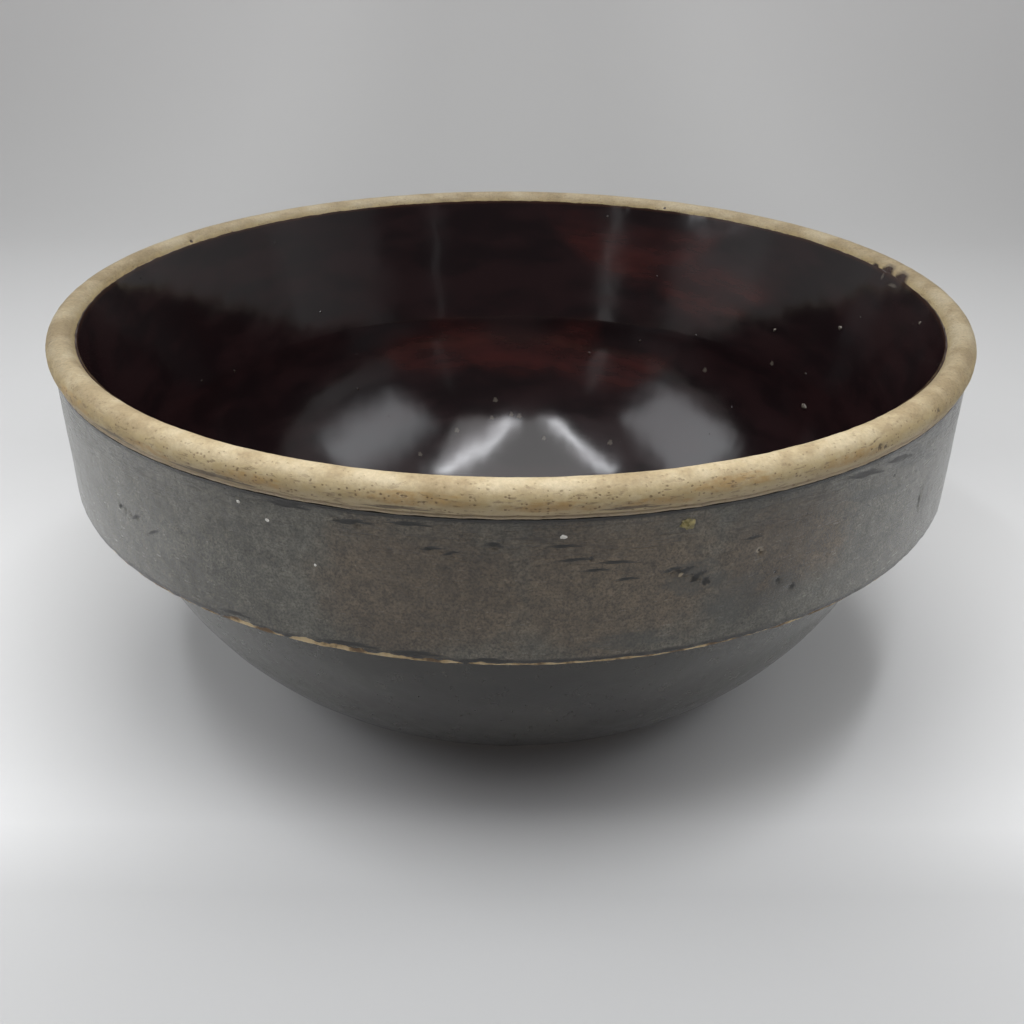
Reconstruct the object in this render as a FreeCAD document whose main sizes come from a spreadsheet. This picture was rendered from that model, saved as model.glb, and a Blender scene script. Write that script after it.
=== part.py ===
import FreeCAD, Part
import math
import os
import Sketcher
from FreeCAD import Placement, Rotation, Vector

# A stoneware shoulder bowl: one jiggered clay body with a rolled rim and a deep collar, a dark glaze melted
# on it in three coats that leave the rim, the collar's lower edge and the foot bare, and a few crumbs of
# kiln grit that stuck to the glaze. Nothing on it moves.
# Origin: the centre of the foot's standing plane. +Z is up, along the bowl's axis. Millimetres.

SIZES = [
    ("rim_diameter", 304.8, "outside of the rim roll: a twelve inch bowl"),
    ("bowl_height", 134.0, "standing plane to the crest of the rim"),
    ("roll_thickness", 9.3, "round section of the rim roll"),
    ("rim_overhang", 2.3, "how far the rim roll stands out past the collar's top"),
    ("collar_taper", 0.5, "how far the collar's lower edge stands in from its top"),
    ("collar_depth", 52.0, "crest down to the collar's lower edge"),
    ("edge_round", 0.7, "rounding of the collar's lower edge"),
    ("edge_bare", 1.6, "bare clay left above the collar's lower edge"),
    ("ledge_bare", 2.0, "bare clay left under the collar, in from its edge"),
    ("cove_radius", 4.0, "hollow corner between the collar's underside and the wall"),
    ("shoulder_step", 12.8, "how far the wall's outside stands in from the collar's lower edge"),
    ("wall_curve", 108.0, "radius of the wall's outside, in section"),
    ("wall_thickness", 8.5, "clay between the wall's outside and the well"),
    ("foot_diameter", 158.0, "outside of the foot ring"),
    ("foot_height", 2.5, "upright edge of the foot ring"),
    ("foot_ring_width", 13.0, "flat that the bowl stands on"),
    ("foot_round", 0.6, "rounding of the foot ring's outer edge"),
    ("recess_depth", 1.5, "hollow under the base, inside the foot ring"),
    ("recess_slope", 2.5, "run of the slope from the foot ring up to that hollow"),
    ("crease_depth", 53.0, "crest down to the crease between the upper wall and the well"),
    ("well_corner", 30.0, "radius between the well's side and its floor"),
    ("floor_thickness", 9.0, "standing plane up to the well's floor"),
    ("glaze_thickness", 0.5, "melted glaze coat"),
    ("inner_glaze_drop", 2.0, "crest down to the edge of the inner glaze"),
    ("wall_glaze_gap", 1.5, "bare clay between the foot's upright edge and the wall's glaze"),
    ("grit_size", 1.0, "half width of a middling crumb of kiln grit"),
    ("grit_lift", 0.1, "how far the middle of a crumb of grit stands out of the glaze"),
]

# Kiln grit: bearing about the axis in degrees from +X, how far down it lies as a share of the collar's depth
# (outside) or of the upper wall's (inside), and its half width against that of a middling crumb.
GRIT = [
    ("outside", -116.0, 0.25, 0.9),
    ("outside", -113.5, 0.31, 0.8),
    ("outside", -108.5, 0.52, 0.8),
    ("outside", -85.0, 0.28, 1.0),
    ("outside", -73.5, 0.26, 1.4),
    ("inside", 18.5, 0.54, 1.2),
    ("inside", 33.5, 0.75, 0.9),
]

# The ends of an edge and the centre of an arc, as a sketch numbers them.
START, END, CENTRE = 1, 2, 3

LEDGE = "sizes.bowl_height - sizes.collar_depth"
COLLAR_TOP = "sizes.rim_diameter / 2 - sizes.rim_overhang"
COLLAR_FOOT = COLLAR_TOP + " - sizes.collar_taper"


class Section:
    """Half of a piece's cross-section, on its body's XZ plane: x is the radius and y the height."""

    def __init__(self, doc, name):
        self.doc = doc
        self.body = doc.addObject("PartDesign::Body", name)
        self.body.Label = name
        self.sketch = self.body.newObject("Sketcher::SketchObject", name + "_section")
        plane = [part for part in self.body.Origin.OriginFeatures if part.Role == "XZ_Plane"][0]
        self.sketch.AttachmentSupport = [(plane, "")]
        self.sketch.MapMode = "FlatFace"

    def line(self, start, end):
        return self.sketch.addGeometry(Part.LineSegment(flat(start), flat(end)), False)

    def arc(self, centre, start, end, guide=False):
        """The arc from start to end, counter-clockwise about its centre."""
        circle = Part.Circle(flat(centre), Vector(0, 0, 1), (flat(start) - flat(centre)).Length)
        first = circle.parameter(flat(start))
        last = circle.parameter(flat(end))
        if last < first:
            last += 2 * math.pi
        return self.sketch.addGeometry(Part.ArcOfCircle(circle, first, last), guide)

    def tie(self, kind, *places):
        self.sketch.addConstraint(Sketcher.Constraint(kind, *places))

    def measure(self, kind, present, formula, *places):
        number = self.sketch.addConstraint(Sketcher.Constraint(kind, *places, present))
        self.sketch.setExpression(f"Constraints[{number}]", formula)

    def radius(self, edge, formula):
        self.measure("Radius", self.sketch.Geometry[edge].Radius, formula, edge)

    def across(self, edge, end, formula):
        """Puts one end of an edge at a radius from the axis."""
        self.measure("DistanceX", self.sketch.getPoint(edge, end).x, formula, -1, 1, edge, end)

    def up(self, edge, end, formula):
        """Puts one end of an edge at a height above the standing plane."""
        self.measure("DistanceY", self.sketch.getPoint(edge, end).y, formula, -1, 1, edge, end)

    def turn(self):
        """The solid that the closed section sweeps about the bowl's axis."""
        self.doc.recompute()
        solid = self.body.newObject("PartDesign::Revolution", self.body.Name + "_turned")
        solid.Profile = self.sketch
        solid.ReferenceAxis = (self.sketch, ["V_Axis"])
        solid.Angle = 360.0
        self.body.Tip = solid
        self.doc.recompute()
        return solid


class Outline:
    """Where the section's corners lie before the sketch settles them, for clay or for the glaze on it."""

    def __init__(self, sheet, coat):
        self.off = sheet.glaze_thickness if coat else 0.0
        self.height = sheet.bowl_height
        self.ledge = sheet.bowl_height - sheet.collar_depth - self.off
        self.collar_top = sheet.rim_diameter / 2 - sheet.rim_overhang
        self.collar_foot = self.collar_top - sheet.collar_taper
        low = Vector(sheet.foot_diameter / 2, sheet.foot_height, 0)
        high = Vector(self.collar_foot - sheet.shoulder_step, sheet.bowl_height - sheet.collar_depth, 0)
        chord = high - low
        reach = math.sqrt(sheet.wall_curve ** 2 - (chord.Length / 2) ** 2)
        self.shoulder = high
        self.centre = (low + high) / 2 + Vector(-chord.y, chord.x, 0).normalize() * reach
        self.wall = sheet.wall_curve + self.off
        self.well = sheet.wall_curve - sheet.wall_thickness - self.off
        self.roll = sheet.roll_thickness / 2 + self.off
        self.roll_centre = Vector((sheet.rim_diameter - sheet.roll_thickness) / 2, self.height, 0)
        self.roll_centre.y -= sheet.roll_thickness / 2

        self.cove = sheet.cove_radius - self.off
        rise = self.ledge - self.cove - self.centre.y
        self.cove_centre = self.centre + Vector(math.sqrt((self.wall + self.cove) ** 2 - rise ** 2), rise, 0)
        self.cove_foot = self.toward(self.centre, self.cove_centre, self.wall)
        self.cove_top = Vector(self.cove_centre.x, self.ledge, 0)

        self.crease = self.on_arc(self.well, self.height - sheet.crease_depth)
        slant = self.crease - self.roll_centre
        lean = math.atan2(slant.y, slant.x) - math.acos(self.roll / slant.Length)
        self.roll_foot = self.roll_centre + Vector(math.cos(lean), math.sin(lean), 0) * self.roll

        self.corner = sheet.well_corner - self.off
        self.floor = sheet.floor_thickness + self.off
        rise = self.floor + self.corner - self.centre.y
        reach = math.sqrt((self.well - self.corner) ** 2 - rise ** 2)
        self.corner_centre = self.centre + Vector(reach, rise, 0)
        self.corner_top = self.toward(self.centre, self.corner_centre, self.well)
        self.corner_foot = Vector(self.corner_centre.x, self.floor, 0)

    def toward(self, start, end, length):
        return start + (end - start).normalize() * length

    def on_arc(self, radius, height):
        """The point at a given height of an arc about the wall's centre."""
        rise = height - self.centre.y
        return self.centre + Vector(math.sqrt(radius ** 2 - rise ** 2), rise, 0)

    def on_roll(self, radius):
        """The point on the underside of the rim roll at a given distance from the axis."""
        run = radius - self.roll_centre.x
        return self.roll_centre + Vector(run, -math.sqrt(self.roll ** 2 - run ** 2), 0)

    def in_roll(self, drop):
        """The point on the inner side of the rim roll at a given depth below the crest."""
        rise = self.height - drop - self.roll_centre.y
        return self.roll_centre + Vector(-math.sqrt(self.roll ** 2 - rise ** 2), rise, 0)


def flat(place):
    return Vector(place[0], place[1], 0)


def coat_of(coat):
    return "sizes.glaze_thickness" if coat else "0"


def wall_guide(section, sheet):
    """Guide arc of the wall's outside, from the foot to the shoulder; every wall arc shares its centre."""
    shape = Outline(sheet, False)
    low = Vector(sheet.foot_diameter / 2, sheet.foot_height, 0)
    guide = section.arc(shape.centre, low, shape.shoulder, guide=True)
    section.radius(guide, "sizes.wall_curve")
    section.across(guide, START, "sizes.foot_diameter / 2")
    section.up(guide, START, "sizes.foot_height")
    section.across(guide, END, COLLAR_FOOT + " - sizes.shoulder_step")
    section.up(guide, END, LEDGE)
    return guide


def outside(section, sheet, guide, coat, low, out):
    """Wall arc, cove and underside of the collar, off the clay by the coat: from low to out."""
    shape = Outline(sheet, coat)
    wall = section.arc(shape.centre, low, shape.cove_foot)
    cove = section.arc(shape.cove_centre, shape.cove_top, shape.cove_foot)
    under = section.line(shape.cove_top, (out, shape.ledge))
    section.tie("Coincident", wall, CENTRE, guide, CENTRE)
    section.radius(wall, "sizes.wall_curve + " + coat_of(coat))
    section.radius(cove, "sizes.cove_radius - " + coat_of(coat))
    section.tie("Tangent", wall, END, cove, END)
    section.tie("Tangent", cove, START, under, START)
    section.tie("Horizontal", under)
    section.up(under, END, LEDGE + " - " + coat_of(coat))
    return wall, under


def inside(section, sheet, guide, coat, start):
    """Rim roll, upper wall, well, well corner and floor, off the clay by the coat: from start to the axis."""
    shape = Outline(sheet, coat)
    roll = section.arc(shape.roll_centre, start, shape.roll_foot)
    upper = section.line(shape.roll_foot, shape.crease)
    well = section.arc(shape.centre, shape.corner_top, shape.crease)
    corner = section.arc(shape.corner_centre, shape.corner_foot, shape.corner_top)
    floor = section.line(shape.corner_foot, (0, shape.floor))
    section.across(roll, CENTRE, "(sizes.rim_diameter - sizes.roll_thickness) / 2")
    section.up(roll, CENTRE, "sizes.bowl_height - sizes.roll_thickness / 2")
    section.radius(roll, "sizes.roll_thickness / 2 + " + coat_of(coat))
    section.tie("Tangent", roll, END, upper, START)
    section.tie("Coincident", upper, END, well, END)
    section.tie("Coincident", well, CENTRE, guide, CENTRE)
    section.radius(well, "sizes.wall_curve - sizes.wall_thickness - " + coat_of(coat))
    section.tie("Tangent", well, START, corner, END)
    section.radius(corner, "sizes.well_corner - " + coat_of(coat))
    section.tie("Tangent", corner, START, floor, START)
    section.tie("Horizontal", floor)
    section.tie("PointOnObject", floor, END, -2)
    section.up(floor, END, "sizes.floor_thickness + " + coat_of(coat))
    return roll, upper, floor


def make_clay_body(doc, sheet):
    """The jiggered stoneware body: floor, wall, collar, rim roll and foot ring in one piece of clay."""
    section = Section(doc, "clay_body")
    shape = Outline(sheet, False)
    guide = wall_guide(section, sheet)
    collar_top = shape.on_roll(shape.collar_top)
    collar_edge = (shape.collar_foot, shape.ledge)
    foot_top = (sheet.foot_diameter / 2, sheet.foot_height)
    foot_edge = (sheet.foot_diameter / 2, 0)
    ring_edge = (sheet.foot_diameter / 2 - sheet.foot_ring_width, 0)
    recess_edge = (ring_edge[0] - sheet.recess_slope, sheet.recess_depth)

    roll, upper, floor = inside(section, sheet, guide, False, collar_top)
    section.up(upper, END, "sizes.bowl_height - sizes.crease_depth")
    collar = section.line(collar_top, collar_edge)
    section.tie("Coincident", collar, START, roll, START)
    section.across(collar, START, COLLAR_TOP)
    wall, under = outside(section, sheet, guide, False, foot_top, collar_edge[0])
    section.tie("Coincident", collar, END, under, END)
    section.across(under, END, COLLAR_FOOT)

    upright = section.line(foot_top, foot_edge)
    section.tie("Coincident", upright, START, wall, START)
    section.up(upright, START, "sizes.foot_height")
    section.tie("Vertical", upright)
    ring = section.line(foot_edge, ring_edge)
    section.tie("Coincident", ring, START, upright, END)
    section.tie("PointOnObject", ring, START, -1)
    section.tie("PointOnObject", ring, END, -1)
    section.across(ring, END, "sizes.foot_diameter / 2 - sizes.foot_ring_width")
    slope = section.line(ring_edge, recess_edge)
    section.tie("Coincident", slope, START, ring, END)
    section.up(slope, END, "sizes.recess_depth")
    section.across(slope, END, "sizes.foot_diameter / 2 - sizes.foot_ring_width - sizes.recess_slope")
    roof = section.line(recess_edge, (0, sheet.recess_depth))
    section.tie("Coincident", roof, START, slope, END)
    section.tie("Horizontal", roof)
    section.tie("PointOnObject", roof, END, -2)
    middle = section.line((0, sheet.recess_depth), (0, shape.floor))
    section.tie("Coincident", middle, START, roof, END)
    section.tie("Coincident", middle, END, floor, END)
    section.turn()

    soften(section.body, "collar_edge_round", collar_edge, "sizes.edge_round")
    soften(section.body, "foot_edge_round", foot_edge, "sizes.foot_round")
    return section.body


def soften(body, name, place, formula):
    """Rounds the circular edge that passes through a place of the section."""
    corner = Part.Vertex(place[0], 0, place[1])
    base = body.Tip
    rings = [(number, edge) for number, edge in enumerate(base.Shape.Edges, 1) if edge.isClosed()]
    nearest = min(rings, key=lambda ring: ring[1].distToShape(corner)[0])
    fillet = body.newObject("PartDesign::Fillet", name)
    fillet.Base = (base, [f"Edge{nearest[0]}"])
    fillet.setExpression("Radius", formula)
    body.Tip = fillet
    body.Document.recompute()


def make_inner_glaze(doc, sheet):
    """The glossy lining: from just below the rim's crest down over the upper wall and the well."""
    section = Section(doc, "inner_glaze")
    guide = wall_guide(section, sheet)
    clay_start = Outline(sheet, False).in_roll(sheet.inner_glaze_drop)
    face_start = Outline(sheet, True).in_roll(sheet.inner_glaze_drop)
    clay_roll, clay_upper, clay_floor = inside(section, sheet, guide, False, clay_start)
    section.up(clay_upper, END, "sizes.bowl_height - sizes.crease_depth")
    face_roll, face_upper, face_floor = inside(section, sheet, guide, True, face_start)
    section.tie("Parallel", clay_upper, face_upper)
    edge = section.line(clay_start, face_start)
    section.tie("Coincident", edge, START, clay_roll, START)
    section.tie("Coincident", edge, END, face_roll, START)
    section.tie("Horizontal", edge)
    section.up(edge, START, "sizes.bowl_height - sizes.inner_glaze_drop")
    middle = section.line((0, sheet.floor_thickness), (0, sheet.floor_thickness + sheet.glaze_thickness))
    section.tie("Coincident", middle, START, clay_floor, END)
    section.tie("Coincident", middle, END, face_floor, END)
    section.turn()
    return section.body


def make_collar_glaze(doc, sheet):
    """The satin coat on the collar's face, from under the rim roll to just above the collar's edge."""
    section = Section(doc, "collar_glaze")
    shape = Outline(sheet, False)
    top = shape.collar_top
    foot = shape.collar_foot
    coat = sheet.glaze_thickness
    bare_top = shape.ledge + sheet.edge_bare
    inner_top = shape.on_roll(top)
    outer_top = shape.on_roll(top + coat)
    slant = section.line(inner_top, (foot, shape.ledge))
    section.sketch.setConstruction(slant, True)
    section.across(slant, START, COLLAR_TOP)
    section.across(slant, END, COLLAR_FOOT)
    section.up(slant, END, LEDGE)
    roll = section.arc(shape.roll_centre, inner_top, outer_top)
    section.across(roll, CENTRE, "(sizes.rim_diameter - sizes.roll_thickness) / 2")
    section.up(roll, CENTRE, "sizes.bowl_height - sizes.roll_thickness / 2")
    section.radius(roll, "sizes.roll_thickness / 2")
    section.tie("Coincident", slant, START, roll, START)
    back = section.line(inner_top, (foot, bare_top))
    section.tie("Coincident", back, START, roll, START)
    section.tie("PointOnObject", back, END, slant)
    section.up(back, END, LEDGE + " + sizes.edge_bare")
    face = section.line(outer_top, (foot + coat, bare_top))
    section.tie("Coincident", face, START, roll, END)
    section.across(face, START, COLLAR_TOP + " + sizes.glaze_thickness")
    section.tie("Parallel", face, slant)
    edge = section.line((foot, bare_top), (foot + coat, bare_top))
    section.tie("Coincident", edge, START, back, END)
    section.tie("Coincident", edge, END, face, END)
    section.tie("Horizontal", edge)
    section.turn()
    return section.body


def make_wall_glaze(doc, sheet):
    """The coat on the lower wall, from under the collar to just above the foot."""
    section = Section(doc, "wall_glaze")
    guide = wall_guide(section, sheet)
    clay = Outline(sheet, False)
    face = Outline(sheet, True)
    low = sheet.foot_height + sheet.wall_glaze_gap
    out = clay.collar_foot - sheet.ledge_bare
    clay_wall, clay_under = outside(section, sheet, guide, False, clay.on_arc(clay.wall, low), out)
    face_wall, face_under = outside(section, sheet, guide, True, face.on_arc(face.wall, low), out)
    foot = section.line(clay.on_arc(clay.wall, low), face.on_arc(face.wall, low))
    section.tie("Coincident", foot, START, clay_wall, START)
    section.tie("Coincident", foot, END, face_wall, START)
    section.tie("Horizontal", foot)
    section.up(foot, START, "sizes.foot_height + sizes.wall_glaze_gap")
    edge = section.line((out, clay.ledge), (out, face.ledge))
    section.tie("Coincident", edge, START, clay_under, END)
    section.tie("Coincident", edge, END, face_under, END)
    section.tie("Vertical", edge)
    section.across(edge, START, COLLAR_FOOT + " - sizes.ledge_bare")
    section.turn()
    return section.body


def make_grit(doc, sheet, carriers):
    """Crumbs of kiln grit: angular grains on the glaze, less what would lie in the glaze and the clay."""
    grains = []
    clay = Outline(sheet, False)
    face = Outline(sheet, True)
    collar_slope = sheet.collar_taper / (clay.on_roll(clay.collar_top).y - clay.ledge)
    upper_slope = (face.roll_foot.x - face.crease.x) / (face.roll_foot.y - face.crease.y)
    for number, (side, bearing, share, scale) in enumerate(GRIT, 1):
        size = sheet.grit_size * scale
        if side == "outside":
            height = sheet.bowl_height - sheet.collar_depth * share
            reach = clay.collar_foot + collar_slope * (height - clay.ledge) + face.off + sheet.grit_lift
        else:
            height = sheet.bowl_height - sheet.crease_depth * share
            reach = face.crease.x + upper_slope * (height - face.crease.y) - sheet.grit_lift
        grain = doc.addObject("Part::Prism", f"crumb_{number}")
        grain.Polygon = 5
        grain.Circumradius = size
        grain.Height = 2 * size
        turn = math.radians(bearing)
        middle = Vector(reach * math.cos(turn), reach * math.sin(turn), height)
        tilt = Rotation(Vector(1, 2, 3), 50.0 * number)
        grain.Placement = Placement(middle - tilt.multVec(Vector(0, 0, size)), tilt)
        grains.append(grain)
    grit = doc.addObject("Part::Compound", "whole_crumbs")
    grit.Links = grains
    for carrier in carriers:
        seated = doc.addObject("Part::Cut", "crumbs_off_" + carrier.Name)
        seated.Base = grit
        seated.Tool = carrier
        grit = seated
    grit.Label = "kiln_grit"
    doc.recompute()
    return grit


def main():
    doc = FreeCAD.newDocument("shoulder_bowl")
    sheet = doc.addObject("Spreadsheet::Sheet", "sizes")
    for row, (alias, value, note) in enumerate(SIZES, 1):
        sheet.set(f"A{row}", note)
        sheet.set(f"B{row}", str(value))
        sheet.setAlias(f"B{row}", alias)
    doc.recompute()

    clay = make_clay_body(doc, sheet)
    inner = make_inner_glaze(doc, sheet)
    collar = make_collar_glaze(doc, sheet)
    wall = make_wall_glaze(doc, sheet)
    grit = make_grit(doc, sheet, [collar, inner, clay])
    doc.recompute()

    for item in doc.Objects:
        if "Invalid" in item.State or "Error" in item.State:
            raise RuntimeError(f"{item.Label} did not build: {item.State}")
    pieces = [clay, inner, collar, wall, grit]
    for piece in pieces:
        if piece.Shape.isNull() or not piece.Shape.isValid():
            raise RuntimeError(f"{piece.Label} has no valid shape")
    os.makedirs("parts", exist_ok=True)
    for piece in pieces:
        piece.Shape.exportStep(f"parts/{piece.Label}.step")
        box = piece.Shape.optimalBoundingBox()
        print(piece.Label, len(piece.Shape.Solids), "solids", round(piece.Shape.Volume, 1), "mm3",
              [round(side, 3) for side in (box.XMin, box.XMax, box.ZMin, box.ZMax)])


main()
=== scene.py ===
import bpy
import math
from mathutils import Matrix, Vector


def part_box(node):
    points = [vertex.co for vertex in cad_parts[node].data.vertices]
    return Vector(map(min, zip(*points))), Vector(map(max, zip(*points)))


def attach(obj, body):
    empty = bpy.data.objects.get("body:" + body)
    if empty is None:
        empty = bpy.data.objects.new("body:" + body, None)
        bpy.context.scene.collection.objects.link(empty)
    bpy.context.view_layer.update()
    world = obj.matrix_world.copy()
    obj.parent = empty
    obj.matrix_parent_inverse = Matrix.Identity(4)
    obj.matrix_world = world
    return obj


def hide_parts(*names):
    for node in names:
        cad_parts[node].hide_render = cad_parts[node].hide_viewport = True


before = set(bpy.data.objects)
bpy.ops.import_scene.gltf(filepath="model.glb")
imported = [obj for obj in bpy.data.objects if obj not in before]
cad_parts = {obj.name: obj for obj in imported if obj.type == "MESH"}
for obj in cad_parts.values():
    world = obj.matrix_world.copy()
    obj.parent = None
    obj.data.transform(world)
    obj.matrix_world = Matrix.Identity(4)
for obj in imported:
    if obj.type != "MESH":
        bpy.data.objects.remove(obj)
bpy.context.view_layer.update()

clay_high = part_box("clay_body")[1]
crest = clay_high[2]
rim_radius = clay_high[0]

# ---- Where the bowl is looked at from
# A little above the rim and close by, as one looks down into a bowl on the bench.
eye_back = 0.3892
eye_above_crest = 0.1198
eye_tilt = 0.4895
eye_turn = -0.0015
eye_roll = 0.0058
eye = bpy.data.objects.new("eye", bpy.data.cameras.new("eye"))
bpy.context.collection.objects.link(eye)
eye.data.lens = 40.73
eye.data.clip_start = 0.01
look = Matrix.Rotation(eye_turn, 4, "Z") @ Matrix.Rotation(math.pi / 2 - eye_tilt, 4, "X")
look = look @ Matrix.Rotation(eye_roll, 4, "Z")
eye.matrix_world = Matrix.Translation((0, -eye_back, crest + eye_above_crest)) @ look
bpy.context.scene.camera = eye
bpy.context.scene.view_settings.view_transform = "Standard"

# ---- The bench and its sweep
# A sheet of pale grey paper that lies flat under the bowl and curves up behind it.
paper_width = 4.0
paper_front = -1.6
paper_bend = 1.1
paper_bend_round = 0.45
bpy.ops.object.select_all(action="DESELECT")
bpy.ops.mesh.primitive_plane_add(size=1, location=(0, 0, 0))
paper = bpy.context.object
paper.name = "paper"
bpy.ops.object.mode_set(mode="EDIT")
bpy.ops.transform.resize(value=(paper_width, paper_bend - paper_front, 1))
bpy.ops.transform.translate(value=(0, (paper_bend + paper_front) / 2, 0))
bpy.ops.mesh.select_mode(type="EDGE")
bpy.ops.mesh.select_all(action="DESELECT")
bpy.ops.object.mode_set(mode="OBJECT")
for edge in paper.data.edges:
    edge.select = all(paper.data.vertices[corner].co.y > 0 for corner in edge.vertices)
bpy.ops.object.mode_set(mode="EDIT")
bpy.ops.mesh.extrude_region_move(TRANSFORM_OT_translate={"value": (0, 0.9, 0.5)})
bpy.ops.mesh.extrude_region_move(TRANSFORM_OT_translate={"value": (0, 0.2, 1.6)})
bpy.ops.mesh.select_all(action="SELECT")
bpy.ops.object.mode_set(mode="OBJECT")
bend = paper.modifiers.new("bend", "BEVEL")
bend.width = paper_bend_round
bend.segments = 16
bend.limit_method = "ANGLE"
bend.angle_limit = math.radians(10)
bpy.ops.object.modifier_apply(modifier="bend")
bpy.ops.object.shade_smooth()


def lay(tree, kind, wires=None, **settings):
    """Lays one node; wires gives its inputs, each as a value or as the socket that feeds it."""
    node = tree.nodes.new("ShaderNode" + kind)
    for name, value in settings.items():
        setattr(node, name, value)
    for name, value in (wires or {}).items():
        if isinstance(value, bpy.types.NodeSocket):
            tree.links.new(value, node.inputs[name])
        else:
            node.inputs[name].default_value = value
    return node


def new_finish(name):
    """An empty material and its Principled shader, wired to the output."""
    finish = bpy.data.materials.new(name)
    finish.use_nodes = True
    finish.node_tree.nodes.clear()
    shader = lay(finish.node_tree, "BsdfPrincipled")
    lay(finish.node_tree, "OutputMaterial", {"Surface": shader.outputs["BSDF"]})
    return finish, finish.node_tree, shader


def ramp(tree, factor, *stops):
    """A colour ramp: each stop is its place and its colour."""
    node = lay(tree, "ValToRGB", {"Fac": factor})
    while len(node.color_ramp.elements) < len(stops):
        node.color_ramp.elements.new(0.5)
    for element, (place, colour) in zip(node.color_ramp.elements, stops):
        element.position = place
        element.color = (*colour, 1)
    return node.outputs["Color"]


def reckon(tree, operation, *values):
    """A Math node's answer for its values."""
    return lay(tree, "Math", dict(enumerate(values)), operation=operation).outputs["Value"]


def scale_to(tree, value, low, high, smooth=True):
    """0 where a value is at low and 1 where it is at high."""
    kind = "SMOOTHSTEP" if smooth else "LINEAR"
    wires = {"Value": value, "From Min": low, "From Max": high}
    return lay(tree, "MapRange", wires, interpolation_type=kind).outputs["Result"]


paper_finish, tree, shader = new_finish("paper")
shader.inputs["Roughness"].default_value = 0.9
shader.inputs["Specular IOR Level"].default_value = 0.1
place = lay(tree, "SeparateXYZ", {"Vector": lay(tree, "TexCoord").outputs["Object"]})
# Painted light and shade: the paper's grey is lightest just in front of the bowl, lifting its shadow, then
# darker behind the bowl and paler again up the sweep.
depth = scale_to(tree, place.outputs["Y"], -0.4, 3.2, smooth=False)
greys = ((0.060, 0.50), (0.070, 0.55), (0.079, 0.74), (0.086, 0.70), (0.100, 0.64), (0.155, 0.48),
         (0.27, 0.44), (0.5, 0.62), (0.9, 0.74))
shade = ramp(tree, depth, *((place_along, (grey, grey, grey * 0.99)) for place_along, grey in greys))
# Painted light: the paper is painted paler towards its sides.
off_middle = reckon(tree, "ABSOLUTE", place.outputs["X"])
side = reckon(tree, "MULTIPLY_ADD", scale_to(tree, off_middle, 0.08, 0.30), 0.16, 0.96)
side = reckon(tree, "MULTIPLY_ADD", scale_to(tree, off_middle, 0.4, 1.2), 0.12, side)
shade = lay(tree, "VectorMath", {0: shade, "Scale": side}, operation="SCALE").outputs["Vector"]
tree.links.new(shade, shader.inputs["Base Color"])
# Painted light: where the camera or a reflection sees it, the far paper glows a little, though it is no lamp.
seen_by = lay(tree, "LightPath").outputs
seen = reckon(tree, "MAXIMUM", seen_by["Is Camera Ray"], seen_by["Is Glossy Ray"])
far_back = reckon(tree, "MULTIPLY", scale_to(tree, place.outputs["Y"], 0.6, 1.9), 0.17)
tree.links.new(reckon(tree, "MULTIPLY", seen, far_back), shader.inputs["Emission Strength"])
shader.inputs["Emission Color"].default_value = (1, 1, 1, 1)
paper.data.materials.append(paper_finish)

# ---- The lamps
# A small tent of soft light: a diffuser overhead with a bright tube along each edge, a lit cloth on each
# side, dim cloths below them with a gap at each front corner, and the darker room behind the eye.
world = bpy.data.worlds.new("room")
bpy.context.scene.world = world
world.use_nodes = True
air = world.node_tree
air.nodes.clear()
way = lay(air, "SeparateXYZ", {"Vector": lay(air, "TexCoord").outputs["Generated"]})
behind_eye = lay(air, "MapRange", {"Value": way.outputs["Y"], "From Min": -0.6, "From Max": 0.0})
cloth = ramp(air, behind_eye.outputs["Result"], (0.0, (0.085, 0.075, 0.078)), (1.0, (0.41, 0.41, 0.41)))
sky = lay(air, "Background", {"Color": cloth, "Strength": 1.0})
lay(air, "OutputWorld", {"Surface": sky.outputs["Background"]})


def hang_lamp(name, middle, aim, width, length, glow, soft_sides=0.0, soft_ends=0.0, tint=(1, 1, 1)):
    """A lit cloth that faces the point aim; its soft borders, each a share of its size, fade to nothing."""
    lamp = bpy.data.objects.new(name, bpy.data.lights.new(name, "AREA"))
    bpy.context.collection.objects.link(lamp)
    lamp.data.shape = "RECTANGLE"
    lamp.data.size = width
    lamp.data.size_y = length
    lamp.data.energy = glow * math.pi * width * length
    lamp.data.color = tint
    lamp.location = middle
    lamp.rotation_euler = (Vector(aim) - Vector(middle)).to_track_quat("-Z", "Y").to_euler()
    lamp.data.use_nodes = True
    weave = lamp.data.node_tree
    spot = lay(weave, "SeparateXYZ", {"Vector": lay(weave, "NewGeometry").outputs["Parametric"]})
    across = scale_to(weave, reckon(weave, "PINGPONG", spot.outputs["X"], 0.5), -0.001, soft_sides)
    along = scale_to(weave, reckon(weave, "PINGPONG", spot.outputs["Y"], 0.5), -0.001, soft_ends)
    weave.links.new(reckon(weave, "MULTIPLY", across, along), weave.nodes["Emission"].inputs["Strength"])
    return lamp


bowl_middle = (0, 0, 0.07)


def around(turn, rise, reach):
    """A place at a turn (degrees, from behind the eye towards the right) and a rise above the bowl."""
    turn = math.radians(turn)
    rise = math.radians(rise)
    flat = reach * math.cos(rise)
    return (flat * math.sin(turn), -flat * math.cos(turn), bowl_middle[2] + reach * math.sin(rise))


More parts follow.
